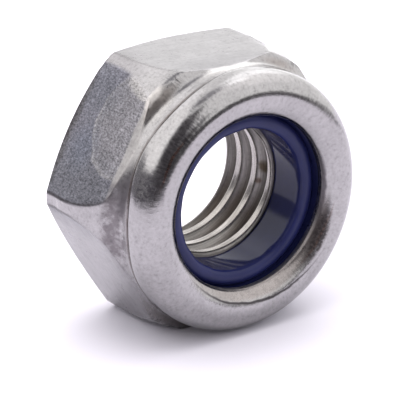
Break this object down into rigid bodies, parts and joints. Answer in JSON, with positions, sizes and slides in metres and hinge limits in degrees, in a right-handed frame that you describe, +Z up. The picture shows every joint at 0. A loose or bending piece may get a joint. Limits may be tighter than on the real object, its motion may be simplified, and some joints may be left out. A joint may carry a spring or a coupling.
{
  "type": "nylon insert lock nut",
  "caption": "Stainless steel hexagon lock nut with a collar rolled in over a blue nylon ring that grips the bolt's thread.",
  "frame": {"origin": "centre of the bearing face, on the axis of the thread", "axes": "+Z up, with the nut lying on one of its flats; +Y along the thread, out of the bearing face; the insert end faces -Y"},
  "size_m": [0.0146, 0.0076, 0.013],
  "materials": {
    "stainless_steel": "tumbled satin, with wear and light stains",
    "blue_nylon": "moulded, glossy"
  },
  "bodies": {
    "root": {"nut_body": "stainless_steel", "nylon_insert": "blue_nylon"}
  },
  "joints": []
}
